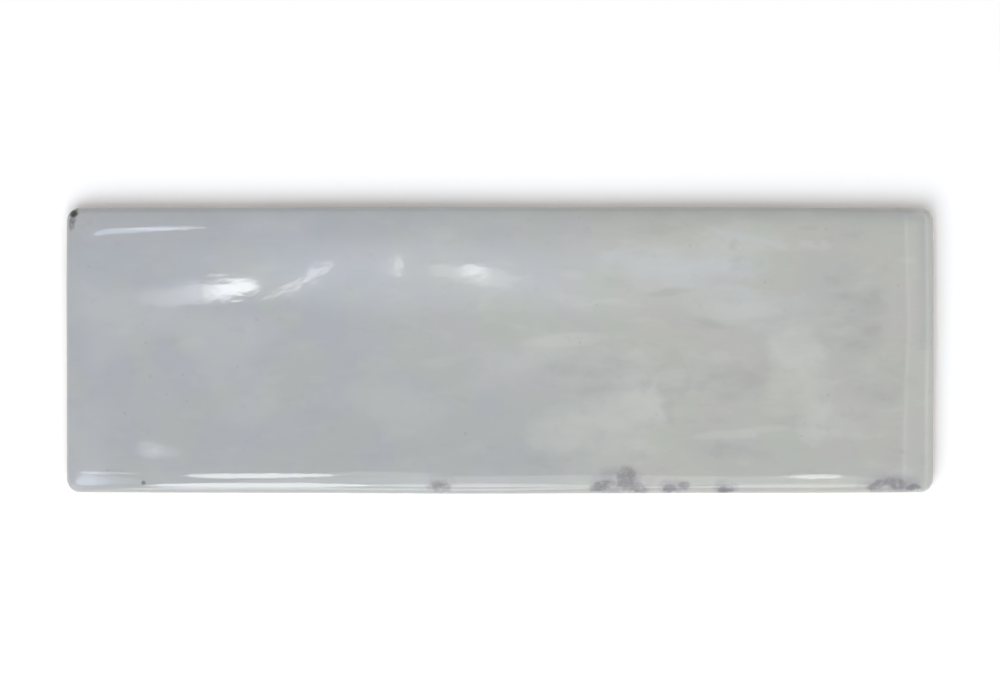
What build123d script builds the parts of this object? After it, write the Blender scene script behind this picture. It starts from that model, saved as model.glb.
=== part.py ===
"""A glazed wall tile with the look of hand pressing: one fired piece, about 300 x 100 x 9 mm.

The face is glazed. It rises and falls in long low ridges and shallow thumb marks, drops away towards
its rim and rolls over into the sides. The four edges are slightly bowed, so that tiles laid side by side
touch near the middle of each edge and part at the corners. The sides lean in a little towards the
back. The back is a flat bed crossed by a waffle of shallow pockets, which key it to the adhesive.

Frame: +X along the tile, +Y across it, +Z out of the glazed face. The origin is the middle of the
back. All sizes are in millimetres and all angles in degrees.
"""

from build123d import *

import os
from math import cos, exp, pi, radians, sin, tan

# Overall size
tile_length = 300.0
tile_width = 99.5
tile_thickness = 9.0

# Outline: each edge bows out at its middle and wavers a little along its run
long_edge_bow = 0.6
short_edge_bow = 0.35
edge_waver = 0.2
edge_waver_pitch = 130.0
near_edge_phase = 0.4
far_edge_phase = 2.1
left_edge_phase = 3.6
right_edge_phase = 5.0
corner_radius = 4.5

# Sides and rim
side_draft = 1.5
rim_radius = 2.2
rim_fall = 1.0
rim_fall_reach = 4.5
back_edge_chamfer = 0.6

# Long low ridges, which meander along the face, and a slow ripple across them, left by pressing
ridge_height = 0.3
ridge_pitch = 92.0
ridge_offset = 24.5
ridge_meander = 5.5
ridge_meander_pitch = 150.0
ridge_meander_shift = 80.0
ripple_height = 0.06
ripple_pitch_along = 83.0
ripple_pitch_across = 120.0

# Oval thumb marks in the face: the place of each, as shares of the half length and width, and its depth
thumb_mark_reach_along = 26.0
thumb_mark_reach_across = 13.0
thumb_marks = [
    (-0.52, -0.10, 0.10),
    (0.10, -0.20, 0.10),
    (0.40, 0.45, 0.12),
    (0.62, -0.40, 0.10),
    (0.86, 0.20, 0.10),
]

# Keying pockets in the back
pocket_columns = 8
pocket_rows = 3
pocket_rib = 5.0
pocket_border = 9.0
pocket_depth = 0.8
pocket_corner_radius = 2.5
pocket_draft = 20.0

# How closely the bowed outline and the waved face are drawn, and how far they run past the tile
outline_steps = 8
face_step = 4.0
face_tolerance = 0.002
face_degree = 3
face_margin = 3.0
blank_allowance = 2.0


def waver(share, half_run, phase):
    """How far an edge wavers inwards, at a share of the way from its middle to its end."""
    turn = 2 * pi * share * half_run / edge_waver_pitch + phase
    return edge_waver * (1 - cos(turn)) / 2 * (1 - share**2)


def outline_edges(inset):
    """The points of the four bowed edges in turn, with the whole outline drawn in by an inset."""
    half_length = tile_length / 2 - inset
    half_width = tile_width / 2 - inset
    shares = [2 * i / outline_steps - 1 for i in range(outline_steps + 1)]

    def long_edge(side, phase):
        return [
            (
                share * (half_length - short_edge_bow),
                side * (half_width - long_edge_bow * share**2 - waver(share, half_length, phase)),
            )
            for share in shares
        ]

    def short_edge(side, phase):
        return [
            (
                side * (half_length - short_edge_bow * share**2 - waver(share, half_width, phase)),
                share * (half_width - long_edge_bow),
            )
            for share in shares
        ]

    return [
        long_edge(-1, near_edge_phase),
        short_edge(1, right_edge_phase),
        long_edge(1, far_edge_phase),
        short_edge(-1, left_edge_phase),
    ]


def face_height(x, y):
    """The height of the glazed face above the back."""
    from_end = tile_length / 2 - abs(x)
    from_side = tile_width / 2 - abs(y)
    fall = rim_fall * (exp(-from_end / rim_fall_reach) + exp(-from_side / rim_fall_reach))
    meander = ridge_meander * sin(2 * pi * (x + ridge_meander_shift) / ridge_meander_pitch)
    ridge = cos(2 * pi * (y - ridge_offset - meander) / ridge_pitch)
    ripple = sin(2 * pi * (x / ripple_pitch_along + y / ripple_pitch_across))
    marks = 0.0
    for share_x, share_y, depth in thumb_marks:
        away_x = (x - share_x * tile_length / 2) / thumb_mark_reach_along
        away_y = (y - share_y * tile_width / 2) / thumb_mark_reach_across
        marks += depth * exp(-(away_x**2) - away_y**2)
    waves = ridge_height * (1 - ridge) / 2 + ripple_height * (1 - ripple) / 2
    return tile_thickness - waves - fall - marks


def evenly(reach, step):
    """Places from one side of the middle to the other, about a step apart."""
    count = round(2 * reach / step)
    return [reach * (2 * i / count - 1) for i in range(count + 1)]


def waved_face():
    """The surface of the glazed face, drawn a little past the tile on every side."""
    along = evenly(tile_length / 2 + face_margin, face_step)
    across = evenly(tile_width / 2 + face_margin, face_step)
    heights = [[(x, y, face_height(x, y)) for x in along] for y in across]
    return Face.make_surface_from_array_of_points(
        heights, tol=face_tolerance, min_deg=face_degree, max_deg=face_degree
    )


# The blank is full size where the rim starts to roll over, and leans in below that
lean = tan(radians(side_draft))
rim_height = tile_thickness - rim_fall - rim_radius
blank_height = tile_thickness + blank_allowance

# The waffle fills the back inside its border
pocket_length = (tile_length - 2 * pocket_border + pocket_rib) / pocket_columns - pocket_rib
pocket_width = (tile_width - 2 * pocket_border + pocket_rib) / pocket_rows - pocket_rib

with BuildPart() as tile:
    for height in (0.0, blank_height):
        with BuildSketch(Plane.XY.offset(height)):
            with BuildLine():
                for points in outline_edges(inset=(rim_height - height) * lean):
                    Spline(*points)
            make_face()
    loft(ruled=True)

    upright_edges = [edge for edge in tile.edges() if abs((edge @ 1 - edge @ 0).Z) > blank_height / 2]
    fillet(upright_edges, corner_radius)

    split(bisect_by=waved_face(), keep=Keep.TOP)
    face = tile.faces().sort_by(Axis.Z)[-1]
    fillet(face.edges(), rim_radius)

    back = tile.faces().sort_by(Axis.Z)[0]
    chamfer(back.edges(), back_edge_chamfer)
    with BuildSketch(Plane.XY):
        with GridLocations(
            pocket_length + pocket_rib, pocket_width + pocket_rib, pocket_columns, pocket_rows
        ):
            RectangleRounded(pocket_length, pocket_width, pocket_corner_radius)
    extrude(amount=pocket_depth, taper=pocket_draft, mode=Mode.SUBTRACT)

tile.part.label = "tile"
os.makedirs("parts", exist_ok=True)
export_step(tile.part, "parts/tile.step")
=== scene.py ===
from math import cos, exp, pi, radians, sin, tan

import bpy
from mathutils import Matrix, Vector


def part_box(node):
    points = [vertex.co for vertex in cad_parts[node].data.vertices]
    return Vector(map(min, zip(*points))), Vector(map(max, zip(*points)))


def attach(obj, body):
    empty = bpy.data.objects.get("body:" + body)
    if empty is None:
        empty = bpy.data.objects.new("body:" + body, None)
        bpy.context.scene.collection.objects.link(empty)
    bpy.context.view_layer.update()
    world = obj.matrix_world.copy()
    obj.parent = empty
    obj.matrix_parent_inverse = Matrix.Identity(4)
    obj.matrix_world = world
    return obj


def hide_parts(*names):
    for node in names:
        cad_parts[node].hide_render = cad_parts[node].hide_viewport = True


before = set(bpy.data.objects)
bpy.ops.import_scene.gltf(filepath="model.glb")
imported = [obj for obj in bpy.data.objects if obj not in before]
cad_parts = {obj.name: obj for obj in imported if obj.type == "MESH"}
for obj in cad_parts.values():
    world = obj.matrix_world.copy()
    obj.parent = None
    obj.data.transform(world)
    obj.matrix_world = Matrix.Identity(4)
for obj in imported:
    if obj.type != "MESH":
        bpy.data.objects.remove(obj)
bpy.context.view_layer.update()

# A glazed wall tile with the look of hand pressing, lying face up on white and seen from straight above.
# Lengths are in metres. +X runs along the tile, +Y across it and +Z out of its face.

mm = 0.001

# The tile, at the sizes of the solid
tile_length = 300.0 * mm
tile_width = 99.5 * mm
tile_thickness = 9.0 * mm
long_edge_bow = 0.6 * mm
short_edge_bow = 0.35 * mm
edge_waver = 0.2 * mm
edge_waver_pitch = 130.0 * mm
near_edge_phase = 0.4
far_edge_phase = 2.1
left_edge_phase = 3.6
right_edge_phase = 5.0
corner_radius = 4.5 * mm
side_draft = radians(1.5)
rim_radius = 2.2 * mm
rim_fall = 1.0 * mm
rim_fall_reach = 4.5 * mm
back_edge_chamfer = 0.6 * mm
ridge_height = 0.3 * mm
ridge_pitch = 92.0 * mm
ridge_offset = 24.5 * mm
ridge_meander = 5.5 * mm
ridge_meander_pitch = 150.0 * mm
ridge_meander_shift = 80.0 * mm
ripple_height = 0.06 * mm
ripple_pitch_along = 83.0 * mm
ripple_pitch_across = 120.0 * mm
thumb_mark_reach_along = 26.0 * mm
thumb_mark_reach_across = 13.0 * mm
thumb_marks = [
    (-0.52, -0.10, 0.10 * mm),
    (0.10, -0.20, 0.10 * mm),
    (0.40, 0.45, 0.12 * mm),
    (0.62, -0.40, 0.10 * mm),
    (0.86, 0.20, 0.10 * mm),
]
pocket_columns = 8
pocket_rows = 3
pocket_rib = 5.0 * mm
pocket_border = 9.0 * mm
pocket_depth = 0.8 * mm
pocket_corner_radius = 2.5 * mm
pocket_draft = radians(20.0)

# The sizes that its face is worked out from
tile_sizes = {
    "Length": tile_length,
    "Width": tile_width,
    "Thickness": tile_thickness,
    "Rim radius": rim_radius,
    "Rim fall": rim_fall,
    "Ridge height": ridge_height,
}

# How finely the tile is drawn
points_along = 361
points_across = 121
points_up = 17
rim_steps = 15
rim_crowding = 1.6
pocket_corner_steps = 6
# How sharp an edge is shaded as sharp, how near points are joined, and the least that is divided by
sharp_edge_angle = radians(35.0)
join_distance = 1e-6
tiny = 1e-9

# Small dimples that the fingers leave, too fine for the solid
dimple_pitch = 17.0 * mm
dimple_depth = 0.02 * mm
dimple_margin = 3.0 * mm

# Where the glaze stops on the sides
glaze_line_height = 2.6 * mm
glaze_line_waver = 1.0 * mm
glaze_line_pitch = 24.0 * mm
glaze_drip_length = 1.3 * mm
glaze_drip_pitch = 9.0 * mm
glaze_coat = 0.12 * mm
glaze_lip = 0.10 * mm
glaze_lip_width = 0.8 * mm
glaze_edge_softness = 0.15 * mm


class Value:
    """A socket of a node tree. Sums written with it add Math nodes to its tree."""

    def __init__(self, graph, socket):
        self.graph = graph
        self.socket = socket

    def maths(self, operation, *terms):
        return self.graph.node("ShaderNodeMath", {"operation": operation}, dict(enumerate(terms)))

    def beside(self, name):
        """Another output of the same node."""
        return Value(self.graph, self.socket.node.outputs[name])

    def __add__(self, other):
        return self.maths("ADD", self, other)

    def __radd__(self, other):
        return self.maths("ADD", other, self)

    def __sub__(self, other):
        return self.maths("SUBTRACT", self, other)

    def __rsub__(self, other):
        return self.maths("SUBTRACT", other, self)

    def __mul__(self, other):
        return self.maths("MULTIPLY", self, other)

    def __rmul__(self, other):
        return self.maths("MULTIPLY", other, self)

    def __truediv__(self, other):
        return self.maths("DIVIDE", self, other)

    def __rtruediv__(self, other):
        return self.maths("DIVIDE", other, self)

    def __pow__(self, other):
        return self.maths("POWER", self, other)

    def __lt__(self, other):
        return self.maths("LESS_THAN", self, other)

    def __gt__(self, other):
        return self.maths("GREATER_THAN", self, other)

    def __neg__(self):
        return self.maths("MULTIPLY", self, -1.0)

    def __abs__(self):
        return self.maths("ABSOLUTE", self)


class Graph:
    """A node tree that is being built. Each node's output comes back as a Value."""

    def __init__(self, tree):
        self.tree = tree

    def node(self, kind, settings=None, inputs=None, output=0):
        made = self.tree.nodes.new(kind)
        for name, setting in (settings or {}).items():
            setattr(made, name, setting)
        for name, given in (inputs or {}).items():
            for term in given if isinstance(given, list) else [given]:
                if isinstance(term, Value):
                    self.tree.links.new(term.socket, made.inputs[name])
                else:
                    made.inputs[name].default_value = term
        return Value(self, made.outputs[output] if len(made.outputs) else None)


def sine(value):
    return value.maths("SINE", value) if isinstance(value, Value) else sin(value)


def cosine(value):
    return value.maths("COSINE", value) if isinstance(value, Value) else cos(value)


def growth(value):
    return value.maths("EXPONENT", value) if isinstance(value, Value) else exp(value)


def root(value):
    return value.maths("SQRT", value)


def lesser(value, other):
    return value.maths("MINIMUM", value, other)


def greater(value, other):
    return value.maths("MAXIMUM", value, other)


def sign(value):
    return value.maths("SIGN", value)


def choose(where, there, elsewhere):
    """There where the mask is 1, elsewhere where it is 0, and a mixture between."""
    return elsewhere + where * (there - elsewhere)


def ramp_up(value, start, end):
    """A mask that rises smoothly from 0 at the start to 1 at the end."""
    return value.graph.node(
        "ShaderNodeMapRange",
        {"interpolation_type": "SMOOTHSTEP"},
        {"Value": value, "From Min": start, "From Max": end},
    )


def parts_of(vector):
    """The x, y and z of a vector."""
    x = vector.graph.node("ShaderNodeSeparateXYZ", inputs={0: vector})
    return x, x.beside("Y"), x.beside("Z")


def vector_of(x, y, z):
    graph = next(term.graph for term in (x, y, z) if isinstance(term, Value))
    return graph.node("ShaderNodeCombineXYZ", inputs={0: x, 1: y, 2: z})


def noise(place, pitch, detail=2.0, stretch=(1.0, 1.0, 1.0), seed=0.0, roughness=0.5):
    """Smooth noise from 0 to 1 whose blots are about a pitch apart, stretched along the axes."""
    graph = place.graph
    moved = graph.node(
        "ShaderNodeVectorMath",
        {"operation": "MULTIPLY_ADD"},
        {0: place, 1: tuple(1 / (pitch * s) for s in stretch), 2: (seed, -seed, 0.7 * seed)},
    )
    return graph.node(
        "ShaderNodeTexNoise",
        inputs={"Vector": moved, "Scale": 1.0, "Detail": detail, "Roughness": roughness},
    )


def geometry_tree(name, sizes):
    """A new tree of geometry nodes with a named input for each size. Gives its graph and those inputs."""
    tree = bpy.data.node_groups.new(name, "GeometryNodeTree")
    kinds = {float: "NodeSocketFloat", int: "NodeSocketInt", bpy.types.Material: "NodeSocketMaterial"}
    for label, size in sizes.items():
        tree.interface.new_socket(name=label, in_out="INPUT", socket_type=kinds[type(size)])
    tree.interface.new_socket(name="Tile", in_out="OUTPUT", socket_type="NodeSocketGeometry")
    graph = Graph(tree)
    entry = graph.node("NodeGroupInput")
    return graph, {label: entry.beside(label) for label in sizes}


def mesh_from_tree(name, graph, sizes):
    """Runs a tree at the given sizes and keeps what it makes as a plain mesh."""
    blank = bpy.data.objects.new(name + "_blank", bpy.data.meshes.new(name + "_blank"))
    bpy.context.scene.collection.objects.link(blank)
    modifier = blank.modifiers.new("shape", "NODES")
    modifier.node_group = graph.tree
    for item in graph.tree.interface.items_tree:
        if item.in_out == "INPUT":
            modifier[item.identifier] = sizes[item.name]
    shaped = blank.evaluated_get(bpy.context.evaluated_depsgraph_get())
    mesh = bpy.data.meshes.new_from_object(shaped)
    mesh.name = name
    blank.modifiers.remove(modifier)
    bpy.data.objects.remove(blank)
    return mesh


def waver(share, half_run, phase):
    """How far an edge wavers inwards, at a share of the way from its middle to its end."""
    turn = share * (2 * pi / edge_waver_pitch) * half_run + phase
    return edge_waver * 0.5 * (1 - cosine(turn)) * (1 - share * share)


def face_height(x, y, sizes):
    """The height of the glazed face above the back, for numbers or for sockets."""
    from_end = sizes["Length"] / 2 - abs(x)
    from_side = sizes["Width"] / 2 - abs(y)
    fall = sizes["Rim fall"] * (growth(-from_end / rim_fall_reach) + growth(-from_side / rim_fall_reach))
    meander = ridge_meander * sine((x + ridge_meander_shift) * (2 * pi / ridge_meander_pitch))
    ridge = cosine((y - ridge_offset - meander) * (2 * pi / ridge_pitch))
    ripple = sine(x * (2 * pi / ripple_pitch_along) + y * (2 * pi / ripple_pitch_across))
    waves = sizes["Ridge height"] * 0.5 * (1 - ridge) + ripple_height / 2 * (1 - ripple)
    height = sizes["Thickness"] - waves - fall
    for share_x, share_y, depth in thumb_marks:
        away_x = (x - share_x * tile_length / 2) / thumb_mark_reach_along
        away_y = (y - share_y * tile_width / 2) / thumb_mark_reach_across
        height = height - depth * growth(-(away_x * away_x) - away_y * away_y)
    return height


def crowded(share, half_run, steps):
    """How far in from the edge a row of points lies. The rows crowd together within the corner radius."""
    step = (1 - abs(share)) * steps
    at_rim = corner_radius * (step / rim_steps) ** rim_crowding
    inside = corner_radius + (step - rim_steps) * (half_run - corner_radius) / (steps - rim_steps)
    return choose(step < rim_steps, at_rim, inside)


def round_corners(share_x, share_y, in_x, in_y, half_length, half_width):
    """Turns the square rings of points within each corner into round ones. Gives each point's x and y."""
    out_x = greater(corner_radius - in_x, 0.0)
    out_y = greater(corner_radius - in_y, 0.0)
    away = root(out_x * out_x + out_y * out_y)
    squeeze = 1 - greater(out_x, out_y) / greater(away, tiny)
    x = sign(share_x) * (half_length - in_x - out_x * squeeze)
    y = sign(share_y) * (half_width - in_y - out_y * squeeze)
    return x, y


def bow_edges(x, y, along, across, given):
    """Bows the edges and lets them waver, less and less towards the middle of the tile."""
    phase_of_long = choose(across > 0.0, far_edge_phase, near_edge_phase)
    phase_of_short = choose(along > 0.0, right_edge_phase, left_edge_phase)
    pull_y = given["Long edge bow"] * along * along + waver(along, tile_length / 2, phase_of_long)
    pull_x = given["Short edge bow"] * across * across + waver(across, tile_width / 2, phase_of_short)
    return x - along * pull_x, y - across * pull_y


def height_of_row(row, x, y, inset, given):
    """How high a point is. The rows stand up the sides, from the chamfer to the rolled rim and the face."""
    rim = greater(given["Rim radius"] - inset, 0.0)
    roll = given["Rim radius"] - root(given["Rim radius"] * given["Rim radius"] - rim * rim)
    dimples = noise(vector_of(x, y, 0.0), dimple_pitch, detail=1.0, seed=7.0)
    dimples = dimple_depth * dimples * ramp_up(inset, 0.0, dimple_margin)
    top = face_height(x, y, given) - roll - dimples
    risen = greater(row - 1, 0.0) / (given["Points up"] - 2)
    return choose(row < 0.5, 0.0, back_edge_chamfer + risen * (top - back_edge_chamfer))


def lean_of_side(row, x, y, z, given):
    """How far the side leans in. The glaze stands a little proud of it, with a lip where it stops."""
    widest = given["Thickness"] - given["Rim fall"] - given["Rim radius"]
    lean = greater(widest - z, 0.0) * tan(side_draft) + (row < 0.5) * back_edge_chamfer
    covered = above_glaze_line(vector_of(x, y, z))
    coat = ramp_up(covered, -glaze_edge_softness, glaze_edge_softness) * glaze_coat
    lip = growth(-(covered / glaze_lip_width - 0.5) ** 2) * glaze_lip
    return lean - lesser((coat + lip) * (z > back_edge_chamfer), greater(lean, 0.0))


def pressed_shell(graph, given):
    """The tile but for its back: a block of points, with its corners rounded, its edges bowed, its sides
    leaning in, its face waved and its rim rolled over."""
    block = graph.node(
        "GeometryNodeMeshCube",
        inputs={
            "Size": (2.0, 2.0, 2.0),
            "Vertices X": given["Points along"],
            "Vertices Y": given["Points across"],
            "Vertices Z": given["Points up"],
        },
    )
    share_x, share_y, level = parts_of(graph.node("GeometryNodeInputPosition"))
    half_length = given["Length"] / 2
    half_width = given["Width"] / 2
    in_x = crowded(share_x, half_length, (given["Points along"] - 1) / 2)
    in_y = crowded(share_y, half_width, (given["Points across"] - 1) / 2)
    inset = lesser(in_x, in_y)
    x, y = round_corners(share_x, share_y, in_x, in_y, half_length, half_width)
    along = x / half_length
    across = y / half_width
    x, y = bow_edges(x, y, along, across, given)
    row = (level + 1) * 0.5 * (given["Points up"] - 1)
    z = height_of_row(row, x, y, inset, given)
    lean = lean_of_side(row, x, y, z, given)
    place = vector_of(x - along * lean, y - across * lean, z)
    block = keep_on_points(graph, block, "from_edge", inset)
    return graph.node("GeometryNodeSetPosition", inputs={"Geometry": block, "Position": place})


def keep_on_points(graph, mesh, name, value):
    """Keeps a value on the points of a mesh, for its finish to read."""
    return graph.node(
        "GeometryNodeStoreNamedAttribute",
        {"data_type": "FLOAT", "domain": "POINT"},
        {"Geometry": mesh, "Name": name, "Value": value},
    )


def on_back(graph):
    """Whether a point lies on the plane of the back."""
    return parts_of(graph.node("GeometryNodeInputPosition"))[2] < join_distance


def above_glaze_line(place):
    """How far a point is above the uneven line where the glaze stops on the sides."""
    x, y, z = parts_of(place)
    flat = vector_of(x, y, 0.0)
    slow = noise(flat, glaze_line_pitch, detail=1.0, seed=3.0) - 0.5
    drip = ramp_up(noise(flat, glaze_drip_pitch, detail=0.0, seed=11.0), 0.56, 0.78)
    return z - (glaze_line_height + 2 * glaze_line_waver * slow - glaze_drip_length * drip)


def pocket_places(graph, given):
    """A grid of points, one at the middle of each keying pocket, and the pocket's length and width."""
    length = (given["Length"] - 2 * pocket_border + pocket_rib) / given["Pocket columns"] - pocket_rib
    width = (given["Width"] - 2 * pocket_border + pocket_rib) / given["Pocket rows"] - pocket_rib
    grid = graph.node(
        "GeometryNodeMeshGrid",
        inputs={
            "Size X": (length + pocket_rib) * (given["Pocket columns"] - 1),
            "Size Y": (width + pocket_rib) * (given["Pocket rows"] - 1),
            "Vertices X": given["Pocket columns"],
            "Vertices Y": given["Pocket rows"],
        },
    )
    return grid, length, width


def pocket_mouth(graph, length, width):
    """The outline of a keying pocket, with rounded corners."""
    rectangle = graph.node(
        "GeometryNodeCurvePrimitiveQuadrilateral",
        {"mode": "RECTANGLE"},
        {"Width": length, "Height": width},
    )
    return graph.node(
        "GeometryNodeFilletCurve",
        {"mode": "POLY"},
        {"Curve": rectangle, "Radius": pocket_corner_radius, "Count": pocket_corner_steps},
    )


def pocket_hollow(graph, mouth, width):
    """The walls and the floor of a keying pocket, which narrows inwards."""
    lid = graph.node("GeometryNodeFillCurve", {"mode": "NGONS"}, {"Curve": mouth})
    raised = graph.node(
        "GeometryNodeExtrudeMesh",
        {"mode": "FACES"},
        {"Mesh": lid, "Offset Scale": pocket_depth, "Individual": False},
    )
    narrowing = 1 - 2 * pocket_depth * tan(pocket_draft) / width
    return graph.node(
        "GeometryNodeScaleElements",
        {"domain": "FACE"},
        {"Geometry": raised, "Selection": raised.beside("Top"), "Scale": narrowing},
    )


def flat_bed(graph, shell, places, mouth):
    """The flat back between the edge of the tile and the mouths of its pockets."""
    edge = graph.node(
        "GeometryNodeMeshToCurve", inputs={"Mesh": shell, "Selection": on_back(graph)}
    )
    mouths = graph.node(
        "GeometryNodeInstanceOnPoints", inputs={"Points": places, "Instance": mouth}
    )
    mouths = graph.node("GeometryNodeRealizeInstances", inputs={"Geometry": mouths})
    outlines = graph.node("GeometryNodeJoinGeometry", inputs={"Geometry": [edge, mouths]})
    return graph.node("GeometryNodeFillCurve", {"mode": "TRIANGLES"}, {"Curve": outlines})


def keyed_back(graph, given, shell):
    """The flat back, with a waffle of shallow pockets pressed into it."""
    places, length, width = pocket_places(graph, given)
    mouth = pocket_mouth(graph, length, width)
    bed = flat_bed(graph, shell, places, mouth)
    pockets = graph.node(
        "GeometryNodeInstanceOnPoints",
        inputs={"Points": places, "Instance": pocket_hollow(graph, mouth, width)},
    )
    back = graph.node("GeometryNodeJoinGeometry", inputs={"Geometry": [bed, pockets]})
    back = graph.node("GeometryNodeRealizeInstances", inputs={"Geometry": back})
    return graph.node("GeometryNodeFlipFaces", inputs={"Mesh": back})


def smoothed(graph, mesh):
    """Smooth shading, but for the sharp edges of the back and its pockets."""
    mesh = graph.node(
        "GeometryNodeSetShadeSmooth",
        {"domain": "FACE"},
        {"Geometry": mesh, "Shade Smooth": True},
    )
    sharp = graph.node("GeometryNodeInputMeshEdgeAngle") > sharp_edge_angle
    return graph.node(
        "GeometryNodeSetShadeSmooth",
        {"domain": "EDGE"},
        {"Geometry": mesh, "Selection": sharp, "Shade Smooth": False},
    )


def make_tile(finish):
    """The whole tile as one closed mesh."""
    sizes = {
        **tile_sizes,
        "Long edge bow": long_edge_bow,
        "Short edge bow": short_edge_bow,
        "Points along": points_along,
        "Points across": points_across,
        "Points up": points_up,
        "Pocket columns": pocket_columns,
        "Pocket rows": pocket_rows,
        "Finish": finish,
    }
    graph, given = geometry_tree("pressed tile", sizes)
    shell = graph.node(
        "GeometryNodeDeleteGeometry",
        {"domain": "FACE", "mode": "ALL"},
        {"Geometry": pressed_shell(graph, given), "Selection": on_back(graph)},
    )
    back = keyed_back(graph, given, shell)
    whole = graph.node("GeometryNodeJoinGeometry", inputs={"Geometry": [shell, back]})
    whole = graph.node(
        "GeometryNodeMergeByDistance", inputs={"Geometry": whole, "Distance": join_distance}
    )
    covered = above_glaze_line(graph.node("GeometryNodeInputPosition"))
    whole = keep_on_points(graph, whole, "above_glaze_line", covered)
    whole = graph.node("GeometryNodeRealizeInstances", inputs={"Geometry": smoothed(graph, whole)})
    whole = graph.node(
        "GeometryNodeSetMaterial", inputs={"Geometry": whole, "Material": given["Finish"]}
    )
    graph.node("NodeGroupOutput", inputs={"Tile": whole})
    return fitted(mesh_from_tree("pressed_tile", graph, sizes))


def fitted(mesh):
    """Eases the mesh into the box of the solid, which its own roundings can pass by a hundredth of a
    millimetre."""
    low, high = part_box("tile")
    points = [vertex.co for vertex in mesh.vertices]
    own_low = Vector([min(point[i] for point in points) for i in range(3)])
    own_high = Vector([max(point[i] for point in points) for i in range(3)])
    scale = [min(1.0, high[i] / own_high[i], low[i] / own_low[i] if low[i] else 1.0) for i in range(3)]
    mesh.transform(Matrix.Diagonal((*scale, 1.0)))
    return mesh


def shade(red, green, blue):
    """A colour as a screen shows it, from 0 to 255, as the light that it stands for."""
    light = [((v / 255 + 0.055) / 1.055) ** 2.4 if v > 10 else v / 255 / 12.92 for v in (red, green, blue)]
    return (*light, 1.0)


def mix_colours(where, there, elsewhere):
    """One colour where the mask is 1, the other where it is 0, and a mixture between."""
    return where.graph.node(
        "ShaderNodeMix",
        {"data_type": "RGBA"},
        {0: where, 6: elsewhere, 7: there},
        output=2,
    )


def new_material(name):
    """A material with no nodes yet, and the graph of its tree."""
    material = bpy.data.materials.new(name)
    material.use_nodes = True
    material.node_tree.nodes.clear()
    return material, Graph(material.node_tree)


def kept_value(graph, name):
    """A value that was kept on the points of the mesh."""
    return graph.node("ShaderNodeAttribute", {"attribute_name": name}, output="Fac")


def specks(place, pitch, radius, share, seed):
    """A mask of small round specks, one at most in each cell of a pitch, in a share of the cells."""
    graph = place.graph
    moved = graph.node(
        "ShaderNodeVectorMath",
        {"operation": "MULTIPLY_ADD"},
        {0: place, 1: (1 / pitch,) * 3, 2: (seed, 0.3 * seed, -seed)},
    )
    cells = graph.node(
        "ShaderNodeTexVoronoi",
        {"voronoi_dimensions": "3D"},
        {"Vector": moved, "Scale": 1.0, "Randomness": 1.0},
        output="Distance",
    )
    luck, size, depth = parts_of(cells.beside("Color"))
    reach = (radius / pitch) * (0.4 + 0.9 * size)
    return (1 - ramp_up(cells, 0.55 * reach, reach)) * (luck < share)


def brush_mark(x, y, mark):
    """A soft oval mask at a brush mark: its middle, half length, half width and turn in degrees."""
    middle_x, middle_y, half_length, half_width, turn = mark
    turn = radians(turn)
    away_x = x - middle_x * mm
    away_y = y - middle_y * mm
    along = (away_x * cos(turn) + away_y * sin(turn)) / (half_length * mm)
    across = (away_y * cos(turn) - away_x * sin(turn)) / (half_width * mm)
    return 1 - ramp_up(along * along + across * across, 0.15, 1.4)


def pushed_about(x, y, along, across, reach):
    """A point pushed along and across by two noises, by half a reach at most."""
    reach_along, reach_across = reach
    return x + (along - 0.5) * reach_along, y + (across - 0.5) * reach_across


def brushed(x, y, marks):
    """Several brush marks as one mask."""
    mask = brush_mark(x, y, marks[0])
    for mark in marks[1:]:
        mask = greater(mask, brush_mark(x, y, mark))
    return mask


# Brush marks in the glaze, with one painted highlight among the pale strokes: the middle, half length and
# half width of each in millimetres, and its turn in degrees
pale_marks = [
    (84.0, 14.0, 22.0, 8.0, -4.0),
    (103.0, -3.0, 12.0, 17.0, 0.0),
    (28.0, -26.5, 20.0, 8.0, 3.0),
    (48.0, -20.0, 9.0, 5.5, 0.0),
    (46.0, 32.0, 10.0, 4.5, 0.0),
    (64.0, 28.0, 26.0, 8.0, 0.0),
    (107.0, -24.0, 6.0, 9.0, 0.0),
]
pale_strokes_and_glint = [
    (24.0, 3.5, 16.0, 2.6, 5.0),
    # A painted highlight: a faint glint low on the right
    (83.0, -28.5, 17.0, 1.8, 7.0),
    (86.0, 38.5, 17.0, 1.3, -14.0),
]
dusky_marks = [
    (38.0, -8.0, 22.0, 8.0, 4.0),
    (60.0, -12.0, 5.0, 14.0, 0.0),
    (82.0, -11.0, 12.0, 7.0, -10.0),
    (122.0, 12.0, 13.0, 17.0, 0.0),
    (131.0, -12.0, 12.0, 7.0, 0.0),
    (17.0, -37.0, 12.0, 4.0, 0.0),
    (84.0, -35.0, 12.0, 3.5, 0.0),
]
dusky_strokes = [
    (57.0, 20.0, 10.0, 1.6, 5.0),
    (71.0, 9.5, 8.0, 1.9, -12.0),
]
# Worn places on the near rim, given in the same way: pale smudges, and the dark cores in them
worn_marks = [
    (-20.5, -46.8, 5.5, 3.2, 0.0),
    (41.0, -45.4, 11.0, 5.6, 0.0),
    (60.0, -47.4, 5.5, 3.2, 0.0),
    (77.0, -47.4, 4.5, 2.8, 0.0),
    (136.0, -46.2, 11.5, 3.8, 0.0),
]
worn_cores = [
    (-21.0, -47.0, 4.2, 1.9, 0.0),
    (43.6, -44.2, 3.8, 4.4, 0.0),
    (35.5, -46.8, 4.8, 2.1, 15.0),
    (46.2, -47.0, 4.8, 2.1, -20.0),
    (58.5, -47.7, 2.6, 1.5, 0.0),
    (63.0, -46.8, 2.0, 1.6, 0.0),
    (77.5, -47.9, 2.8, 1.5, 0.0),
    (130.5, -46.4, 4.2, 1.9, 20.0),
    (136.5, -46.0, 4.8, 2.1, -10.0),
    (143.0, -47.3, 2.8, 1.5, 0.0),
]
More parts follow.
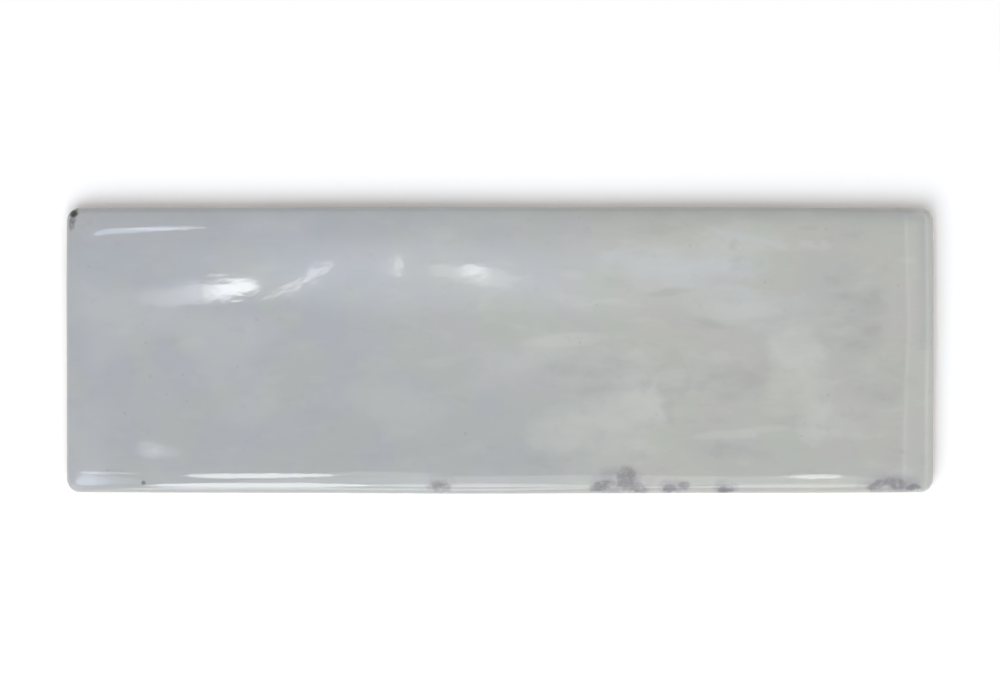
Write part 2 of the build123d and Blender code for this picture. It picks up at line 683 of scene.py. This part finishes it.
# Dark spots from the kiln, given in the same way
corner_spot = (-147.2, 47.1, 1.9, 1.5, 30.0)
corner_smear = (-147.6, 44.4, 1.3, 3.4, -8.0)
rim_dot = (-123.0, -45.8, 0.8, 0.8, 0.0)

# How far apart the blots of each pattern in the glaze lie
drift_pitch = 70.0 * mm
cloud_pitch = 30.0 * mm
rosy_pitch = 19.0 * mm
hue_pitch = 15.0 * mm
wander_pitch = 12.0 * mm
dab_pitch = 8.0 * mm
blot_pitch = 5.5 * mm
freckle_pitch = 6.5 * mm
dark_freckle_pitch = 26.0 * mm
freckle_radius = 0.6 * mm
branch_pitch = 3.2 * mm
smudge_pitch = 4.5 * mm
grit_pitch = 1.7 * mm
ragged_pitch = 1.6 * mm
# How far noise pushes the outlines of brush marks and worn places about, along and across, and those of
# the kiln spots
brush_wander = (20.0 * mm, 13.0 * mm)
smudge_wander = (9.0 * mm, 5.0 * mm)
core_wander = (4.0 * mm, 2.5 * mm)
spot_wander = 2.0 * mm
# Its gloss and its relief
gloss_pitch = 25.0 * mm
peel_pitch = 3.8 * mm
peel_height = 0.011 * mm
pinhole_pitch = 12.0 * mm
pinhole_radius = 0.35 * mm
pinhole_depth = 0.05 * mm
glaze_ior = 1.5
# The patterns and the relief of the bare clay
toasting_pitch = 16.0 * mm
pale_grain_pitch = 0.7 * mm
iron_pitch = 3.0 * mm
iron_radius = 0.28 * mm
wash_pitch = 9.0 * mm
clay_grain_pitch = 0.5 * mm
clay_grain_height = 0.05 * mm
drag_pitch = 3.0 * mm
drag_height = 0.10 * mm
clay_roughness = 0.88
clay_ior = 1.45

# Shades of the glaze
blue_grey = shade(164, 168, 174)
green_grey = shade(166, 170, 169)
sage_grey = shade(175, 178, 170)
warm_grey = shade(177, 176, 171)
rosy_grey = shade(176, 173, 177)
milky = shade(190, 193, 190)
slate = shade(169, 171, 172)
# Chalky dabs in the glaze, and the painted highlight along the right end
chalky_and_highlight = shade(195, 197, 193)
# Pale brush marks below, and the painted highlight among them
cream_grey_and_glint = shade(188, 191, 185)
pale_blue = shade(183, 187, 189)
dusk = shade(161, 162, 160)
# Painted shade for the far rim
painted_far_shade_grey = shade(160, 163, 161)
rim_buff = shade(182, 178, 171)
smoke = shade(156, 158, 160)
# Painted shade for the near part of the face
painted_near_shade_grey = shade(148, 151, 151)
freckle = shade(140, 141, 144)
dark_freckle = shade(112, 110, 108)
worn_lilac = shade(152, 151, 155)
worn_dark = shade(98, 98, 99)
kiln_spot = shade(62, 61, 60)
# Shades of the clay
buff = shade(204, 186, 166)
toasted_buff = shade(190, 170, 149)
flame_brown = shade(166, 136, 112)
pale_grain = shade(222, 210, 195)
iron_brown = shade(112, 88, 72)
kiln_wash = shade(226, 221, 212)


def ground_colour(place, along, across, to_right, hue):
    """The greys of the glaze, bluish and greenish at the left end and warmer at the right."""
    neutral = ramp_up(hue + 0.25 * (along + 0.2) - 0.12 * across, 0.38, 0.62)
    left = mix_colours(neutral, green_grey, blue_grey)
    right = mix_colours(ramp_up(hue, 0.38, 0.62), sage_grey, warm_grey)
    colour = mix_colours(to_right, right, left)
    rosy = noise(place, rosy_pitch, detail=2.0, seed=44.0)
    return mix_colours(ramp_up(rosy, 0.50, 0.68) * 0.35, rosy_grey, colour)


def clouded(colour, cloud, dabs, to_right):
    """Pale and dark clouds and dabs, which are stronger towards the right end."""
    colour = mix_colours(ramp_up(cloud, 0.50, 0.70) * (0.25 + 0.3 * to_right), milky, colour)
    colour = mix_colours((1 - ramp_up(cloud, 0.30, 0.48)) * 0.5, slate, colour)
    colour = mix_colours(ramp_up(dabs, 0.54, 0.74) * (0.12 + 0.2 * to_right), chalky_and_highlight, colour)
    return mix_colours((1 - ramp_up(dabs, 0.28, 0.42)) * (0.08 + 0.3 * to_right), dusk, colour)


def brush_worked(colour, place, dabs):
    """Dusky and pale brush marks with ragged outlines, broken up by the dabs, and a painted highlight
    among the pale strokes.
    """
    x, y, z = parts_of(place)
    along = noise(place, wander_pitch, detail=3.0, seed=2.0)
    across = noise(place, wander_pitch, detail=3.0, seed=9.0)
    wander_x, wander_y = pushed_about(x, y, along, across, brush_wander)
    patchy = 0.55 + 0.7 * ramp_up(dabs, 0.30, 0.62)
    dusky = brushed(wander_x, wander_y, dusky_marks) * (1.5 - patchy)
    dusky = greater(dusky, brushed(wander_x, y, dusky_strokes) * 0.7)
    colour = mix_colours(dusky * 0.8, dusk, colour)
    pale = brushed(wander_x, wander_y, pale_marks) * patchy
    pale = greater(pale, brushed(wander_x, y, pale_strokes_and_glint))
    pale_shade = mix_colours(ramp_up(y, 5.0 * mm, 24.0 * mm), pale_blue, cream_grey_and_glint)
    return mix_colours(pale * 0.55, pale_shade, colour)


def toned_at_edges(colour, place, from_edge, to_right, uneven):
    """Glaze with painted shade towards the near edge and along the far rim, thin on the crest of the rim,
    and with a painted highlight along the rim at the right end."""
    x, y, z = parts_of(place)
    # Painted shade: the face is darkened towards the near edge, more at the left end
    painted_near_shade = ramp_up(-y, -30.0 * mm, 40.0 * mm) * (0.26 - 0.09 * to_right)
    colour = mix_colours(painted_near_shade, painted_near_shade_grey, colour)
    # Painted shade along the far rim, which faces away from the lamps, broken into uneven blotches
    painted_far_shade = (1 - ramp_up(from_edge, 2.0 * mm, 8.0 * mm)) * (y > 0.0) * (0.3 + 0.5 * to_right)
    colour = mix_colours(painted_far_shade * ramp_up(uneven, 0.6, 1.1), painted_far_shade_grey, colour)
    thin = 1 - ramp_up(from_edge, 0.1 * mm, 1.6 * mm)
    colour = mix_colours(thin * 0.35, rim_buff, colour)
    # Painted highlight: a pale band along the rim at the right end, where the rim catches the light
    painted_end_highlight = ramp_up(x, 140.0 * mm, 146.0 * mm) * (1 - ramp_up(from_edge, 1.0 * mm, 4.0 * mm))
    return mix_colours(painted_end_highlight * 0.6, chalky_and_highlight, colour)


def freckled(colour, place):
    """Smoky blots, faint freckles and a few dark ones."""
    blots = noise(place, blot_pitch, detail=2.0, stretch=(1.2, 0.9, 1.0), seed=41.0)
    colour = mix_colours(ramp_up(blots, 0.58, 0.80) * 0.3, smoke, colour)
    faint = specks(place, freckle_pitch, freckle_radius, 0.45, seed=31.0)
    colour = mix_colours(faint * 0.28, freckle, colour)
    dark = specks(place, dark_freckle_pitch, freckle_radius, 0.5, seed=47.0)
    return mix_colours(dark * 0.5, dark_freckle, colour)


def glaze_colour(place, from_edge):
    """Grey glaze, bluish at one end and warmer at the other, clouded and streaked by the brush."""
    x, y, z = parts_of(place)
    along = x / tile_length
    drift = along + 0.5 + 0.45 * (noise(place, drift_pitch, detail=1.0, seed=5.0) - 0.5)
    to_right = ramp_up(drift, 0.30, 0.70)
    hue = noise(place, hue_pitch, detail=3.0, seed=14.0)
    cloud = noise(place, cloud_pitch, detail=4.0, stretch=(1.4, 0.9, 1.0), seed=13.0)
    dabs = noise(place, dab_pitch, detail=3.0, stretch=(1.9, 0.8, 1.0), seed=21.0)
    colour = ground_colour(place, along, y / tile_width, to_right, hue)
    colour = clouded(colour, cloud, dabs, to_right)
    colour = brush_worked(colour, place, dabs)
    colour = toned_at_edges(colour, place, from_edge, to_right, hue + cloud)
    return freckled(colour, place)


def worn_places(place):
    """Where the glaze is worn dull: pale smudges on the near rim, and the dark pitted cores in them."""
    x, y, z = parts_of(place)
    branch = noise(place, branch_pitch, detail=3.0, seed=19.0, roughness=0.6)
    blotch = noise(place, smudge_pitch, detail=2.0, seed=6.0)
    grit = ramp_up(noise(place, grit_pitch, detail=3.0, seed=17.0), 0.30, 0.72)
    smudge = brushed(*pushed_about(x, y, blotch, branch, smudge_wander), worn_marks)
    smudge = smudge * ramp_up(branch, 0.24, 0.58)
    cores = brushed(*pushed_about(x, y, blotch, branch, core_wander), worn_cores) ** 1.3
    cores = cores * (0.8 * branch + 0.6 * grit)
    on_rim = ramp_up(z, 4.2 * mm, 6.2 * mm)
    return smudge * on_rim, cores * on_rim


def kiln_spots(place):
    """A dark spot at a corner with a smear below it, and a small dot on the near rim."""
    x, y, z = parts_of(place)
    ragged = noise(place, ragged_pitch, detail=3.0, seed=27.0) - 0.5
    ragged_x = x + ragged * spot_wander
    spot = brush_mark(ragged_x, y + ragged * spot_wander, corner_spot)
    smear = brush_mark(ragged_x, y, corner_smear) * (0.45 + ragged)
    dot = brush_mark(x, y, rim_dot) * 0.6
    return spot, greater(smear, dot)


def relief(graph, height):
    """Small bumps of a height in metres."""
    return graph.node("ShaderNodeBump", inputs={"Strength": 1.0, "Distance": 1.0, "Height": height})


def clay_colour(place):
    """Buff body, toasted in blotches and speckled with iron."""
    toasting = noise(place, toasting_pitch, seed=22.0)
    colour = mix_colours(ramp_up(toasting, 0.35, 0.7), buff, toasted_buff)
    grain = noise(place, pale_grain_pitch, detail=3.0, seed=23.0)
    colour = mix_colours(ramp_up(grain, 0.58, 0.68) * 0.4, pale_grain, colour)
    iron = specks(place, iron_pitch, iron_radius, 0.35, seed=53.0)
    return mix_colours(iron * 0.7, iron_brown, colour)


def glaze_shader(graph, place, from_edge):
    """Glossy glaze with its worn and spotted places, a fine orange-peel ripple and a few pinholes."""
    smudge, cores = worn_places(place)
    spot, smears = kiln_spots(place)
    colour = glaze_colour(place, from_edge)
    colour = mix_colours(smudge * 0.85, worn_lilac, colour)
    colour = mix_colours(cores * 0.8, worn_dark, colour)
    colour = mix_colours(greater(spot, smears), kiln_spot, colour)
    haze = noise(place, gloss_pitch, detail=1.0, seed=29.0)
    roughness = 0.025 + 0.02 * haze + 0.30 * greater(cores, spot)
    peel = noise(place, peel_pitch, detail=2.0, stretch=(1.3, 0.8, 1.0), seed=33.0) * peel_height
    pinholes = specks(place, pinhole_pitch, pinhole_radius, 0.4, seed=61.0) * pinhole_depth
    return graph.node(
        "ShaderNodeBsdfPrincipled",
        inputs={
            "Base Color": colour,
            "Roughness": roughness,
            "IOR": glaze_ior,
            "Normal": relief(graph, peel - pinholes),
        },
    )


def clay_shader(graph, place, covered):
    """Bare fired clay, toasted under the lip of the glaze and washed with kiln white on the ribs."""
    z = parts_of(place)[2]
    on_ribs = 1 - ramp_up(z, 0.02 * mm, 0.12 * mm)
    rubbed = noise(place, wash_pitch, detail=5.0, stretch=(1.6, 0.8, 1.0), seed=24.0, roughness=0.62)
    washed = on_ribs * ramp_up(rubbed, 0.34, 0.66)
    colour = mix_colours(washed * 0.6, kiln_wash, clay_colour(place))
    toasted = ramp_up(covered, -1.4 * mm, -0.1 * mm)
    colour = mix_colours(toasted * 0.45, flame_brown, colour)
    grain = noise(place, clay_grain_pitch, detail=3.0, seed=37.0) * clay_grain_height
    drag = noise(place, drag_pitch, detail=1.0, seed=38.0) * drag_height
    return graph.node(
        "ShaderNodeBsdfPrincipled",
        inputs={
            "Base Color": colour,
            "Roughness": clay_roughness,
            "IOR": clay_ior,
            "Normal": relief(graph, grain + drag),
        },
    )


def fired_finish():
    """Grey glaze over a buff body, which shows bare on the lower sides and the back."""
    material, graph = new_material("glazed_clay")
    place = graph.node("ShaderNodeTexCoord", output="Object")
    covered = kept_value(graph, "above_glaze_line")
    surface = graph.node(
        "ShaderNodeMixShader",
        inputs={
            0: ramp_up(covered, -0.06 * mm, 0.06 * mm),
            1: clay_shader(graph, place, covered),
            2: glaze_shader(graph, place, kept_value(graph, "from_edge")),
        },
    )
    graph.node("ShaderNodeOutputMaterial", inputs={"Surface": surface})
    return material


# The stage
camera_height = 1.4
sensor_width = 36.0
tile_share_of_frame = 0.87
floor_reach = 6.0
floor_shadow_reach = 0.10
floor_colour = (0.97, 0.97, 0.97, 1.0)
plain_white = (1.0, 1.0, 1.0, 1.0)
room_light = 0.515
light_from_left = (0.95, 0.98, 1.05, 1.0)
light_from_right = (0.98, 0.96, 0.93, 1.0)
# Panes lie level at about this height, with a small gap from each to the next
pane_height = 1.0
pane_gap = 0.003
# The colours of panes: plain, and of those that show the sky
white_pane = (1.0, 1.0, 1.0)
sky = (0.84, 0.94, 1.12)
# Lamps that face the middle of the tile: where each hangs, its size, how bright it is and its colour
room_lamps = {
    "broad_lamp": ((-0.85, -0.95, 1.10), (0.90, 0.70), 3.7, (1.0, 0.99, 0.97)),
    "near_lamp": ((-0.10, -0.90, 0.68), (0.28, 0.75), 4.0, white_pane),
    "far_lamp": ((0.0, 1.20, 0.45), (1.20, 0.20), 2.2, white_pane),
    "low_end_lamp": ((1.10, 0.0, 0.40), (0.70, 0.25), 1.6, white_pane),
}
# Windows of three panes: where the middle one stands, the size of a pane and how bright it is, and how far
# apart the panes stand along x and y
windows = {
    "far_window": ((-1.20, 1.20, 0.80), (0.14, 0.13), 1.7),
    "right_window": ((1.30, -1.30, 0.50), (0.14, 0.055), 1.3),
}
window_pitch = 0.13
# Lamps that lie level over the right end: how far along each hangs, its width and how bright it is
end_lamps = [(0.39, 0.21, 0.55), (0.291, 0.014, 0.7), (0.62, 0.30, 1.1)]
end_lamp_length = 0.62
# Panes that glint in the rim: where each hangs, its size, its turn in degrees, how bright it is and its
# colour
rim_panes = [
    ((-0.150, -0.300), (0.130, 0.110), 0.0, 9.0, white_pane),
    ((-0.160, -0.520), (0.110, 0.360), 0.0, 5.5, white_pane),
    ((-0.020, -0.300), (0.150, 0.080), 0.0, 4.5, white_pane),
    ((0.184, -0.305), (0.120, 0.090), 0.0, 3.5, white_pane),
    ((-0.020, -0.500), (0.520, 0.420), 0.0, 1.5, white_pane),
    ((0.150, -0.500), (0.260, 0.420), 0.0, 2.1, white_pane),
    ((0.060, -0.215), (0.440, 0.110), 0.0, 1.6, white_pane),
    ((-0.350, -0.235), (0.270, 0.210), 12.0, 1.5, sky),
    ((-0.350, -0.235), (0.220, 0.160), 12.0, 1.9, sky),
    ((-0.350, -0.235), (0.160, 0.110), 12.0, 1.7, sky),
    ((-0.300, -0.140), (0.170, 0.018), -4.0, 4.0, sky),
]
# Panes that glint in the face: where each shows and its size in millimetres, its turn in degrees, how
# bright it is and, where it isn't plain, its colour
face_panes = [
    ((-91.0, 21.2), (26.0, 17.0), 4.0, 4.4),
    ((-92.5, 20.9), (38.0, 22.0), 4.0, 3.6),
    ((-96.0, 20.7), (54.0, 28.0), 4.0, 2.5),
    ((-100.0, 20.4), (72.0, 31.0), 4.0, 1.6),
    ((-78.5, 18.5), (22.0, 4.0), 25.0, 7.0),
    ((-71.5, 21.5), (28.0, 5.0), 45.0, 6.0),
    ((-64.0, 26.5), (30.0, 12.0), 65.0, 5.0),
    ((-36.0, 29.6), (3.5, 32.0), 0.0, 8.0),
    ((-8.5, 26.8), (20.0, 11.0), 25.0, 4.5),
    ((-8.5, 26.6), (30.0, 20.0), 15.0, 1.6),
    ((-7.5, 26.0), (60.0, 26.0), 0.0, 2.0),
    ((-20.0, 29.0), (170.0, 65.0), 0.0, 0.4, sky),
    ((-20.0, 29.0), (230.0, 85.0), 0.0, 0.4, sky),
    ((-18.0, 30.0), (290.0, 110.0), 0.0, 0.4, sky),
    ((-16.0, 32.0), (350.0, 135.0), 0.0, 0.4, sky),
    ((-134.0, 41.0), (100.0, 30.0), 19.0, 4.2, sky),
    ((-114.0, 42.2), (44.0, 26.0), 15.0, 3.6, sky),
    ((-119.0, -35.4), (28.0, 26.0), 0.0, 2.0),
    ((-119.0, -35.4), (14.0, 12.0), 0.0, 2.0),
    ((-83.0, -43.5), (86.0, 44.0), 0.0, 9.0),
    ((-40.0, -42.9), (80.0, 40.0), 0.0, 1.5),
    ((109.0, -43.7), (30.0, 44.0), 0.0, 7.0),
]


def white_floor():
    """A white floor that keeps the tile's shadow near it, and is plain white further out."""
    material, graph = new_material("white_floor")
    x, y, z = parts_of(graph.node("ShaderNodeTexCoord", output="Object"))
    beyond_x = greater(abs(x) - tile_length / 2, 0.0)
    beyond_y = greater(abs(y) - tile_width / 2, 0.0)
    away = ramp_up(root(beyond_x * beyond_x + beyond_y * beyond_y), 0.0, floor_shadow_reach)
    camera_ray = graph.node("ShaderNodeLightPath", output="Is Camera Ray")
    seen = greater(camera_ray, camera_ray.beside("Is Glossy Ray"))
    lit = graph.node("ShaderNodeBsdfDiffuse", inputs={"Color": floor_colour})
    white = graph.node("ShaderNodeEmission", inputs={"Color": plain_white, "Strength": 1.0})
    surface = graph.node("ShaderNodeMixShader", inputs={0: away * seen, 1: lit, 2: white})
    graph.node("ShaderNodeOutputMaterial", inputs={"Surface": surface})
    mesh = bpy.data.meshes.new("floor")
    corners = [(-1, -1), (1, -1), (1, 1), (-1, 1)]
    mesh.from_pydata([(u * floor_reach, v * floor_reach, 0.0) for u, v in corners], [], [(0, 1, 2, 3)])
    mesh.materials.append(material)
    floor = bpy.data.objects.new("floor", mesh)
    bpy.context.scene.collection.objects.link(floor)


def hang_lamp(name, place, aim, size, strength, colour=white_pane):
    """A lamp that faces a point. Its strength is how bright its pane looks, where 1 is white."""
    data = bpy.data.lights.new(name, "AREA")
    data.shape = "RECTANGLE"
    data.size, data.size_y = size
    data.energy = strength * size[0] * size[1] * pi
    data.color = colour
    lamp = bpy.data.objects.new(name, data)
    lamp.location = place
    lamp.rotation_euler = (Vector(place) - Vector(aim)).to_track_quat("Z", "Y").to_euler()
    lamp.visible_camera = False
    bpy.context.scene.collection.objects.link(lamp)
    return lamp


def hang_pane(name, place, size, turn, strength, colour=white_pane):
    """An oval pane of light that lies level above the tile, turned by some degrees."""
    x, y, z = place
    lamp = hang_lamp(name, place, (x, y, z - 1.0), size, strength * pi / 4, colour)
    lamp.rotation_euler = (0.0, 0.0, radians(turn))
    lamp.data.shape = "ELLIPSE"


def leaning(x, y):
    """The upright of the face at a point."""
    step = 0.1 * mm
    run = face_height(x + step, y, tile_sizes) - face_height(x - step, y, tile_sizes)
    rise = face_height(x, y + step, tile_sizes) - face_height(x, y - step, tile_sizes)
    return Vector((-run / (2 * step), -rise / (2 * step), 1.0)).normalized()


def pane_seen_at(height, spot, size, turn, strength, colour=white_pane):
    """Hangs an oval pane at a height, where the camera above sees it mirrored at a spot of the face."""
    x, y = (place * mm for place in spot)
    point = Vector((x, y, tile_thickness))
    look = (point - Vector((0.0, 0.0, camera_height))).normalized()
    mirrored = look.reflect(leaning(x, y))
    place = point + mirrored * ((height - tile_thickness) / mirrored.z)
    hang_pane("face_pane", place, [length * mm for length in size], turn, strength, colour)


def soft_room():
    """Even light from all round, a little bluer and brighter from the left, and white where it is seen."""
    world = bpy.data.worlds.new("room")
    bpy.context.scene.world = world
    world.use_nodes = True
    world.node_tree.nodes.clear()
    graph = Graph(world.node_tree)
    x, y, z = parts_of(graph.node("ShaderNodeTexCoord", output="Object"))
    leftward = ramp_up(-x * 0.5 - y * 0.85, -1.0, 1.0)
    tint = mix_colours(leftward, light_from_left, light_from_right)
    level = room_light * (0.72 + 0.56 * leftward)
    room = graph.node("ShaderNodeBackground", inputs={"Color": tint, "Strength": level})
    white = graph.node("ShaderNodeBackground", inputs={"Color": plain_white, "Strength": 1.0})
    seen = graph.node("ShaderNodeLightPath", output="Is Camera Ray")
    mixed = graph.node("ShaderNodeMixShader", inputs={0: seen, 1: room, 2: white})
    graph.node("ShaderNodeOutputWorld", inputs={"Surface": mixed})


def soft_lamps():
    """The soft lamps and windows of the room, and the panes that glint in the rim and the face."""
    middle = (0.0, 0.0, 0.0)
    for name, (place, size, strength, colour) in room_lamps.items():
        hang_lamp(name, place, middle, size, strength, colour)
    for name, ((x, y, z), size, strength) in windows.items():
        for side in (-1, 0, 1):
            aside = side * window_pitch
            hang_lamp(name, (x + aside, y + aside, z), middle, size, strength)
    for step, (along, width, strength) in enumerate(end_lamps):
        place = (along, 0.0, pane_height - step * pane_gap)
        hang_lamp("end_lamp", place, (along, 0.0, 0.0), (width, end_lamp_length), strength)
    for step, (place, size, turn, strength, colour) in enumerate(rim_panes):
        hang_pane("rim_pane", (*place, pane_height - step * pane_gap), size, turn, strength, colour)
    for step, pane in enumerate(face_panes):
        pane_seen_at(pane_height + step * pane_gap, *pane)


def camera_above():
    """The camera, which looks straight down on the middle of the tile."""
    data = bpy.data.cameras.new("camera")
    data.sensor_width = sensor_width
    data.lens = data.sensor_width * (camera_height - tile_thickness) / (tile_length / tile_share_of_frame)
    camera = bpy.data.objects.new("camera", data)
    camera.location = (0.0, 0.0, camera_height)
    bpy.context.scene.collection.objects.link(camera)
    bpy.context.scene.camera = camera


tile = bpy.data.objects.new("glazed_tile", make_tile(fired_finish()))
bpy.context.scene.collection.objects.link(tile)
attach(tile, "root")
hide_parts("tile")
white_floor()
soft_room()
soft_lamps()
camera_above()
bpy.context.scene.view_settings.view_transform = "Standard"
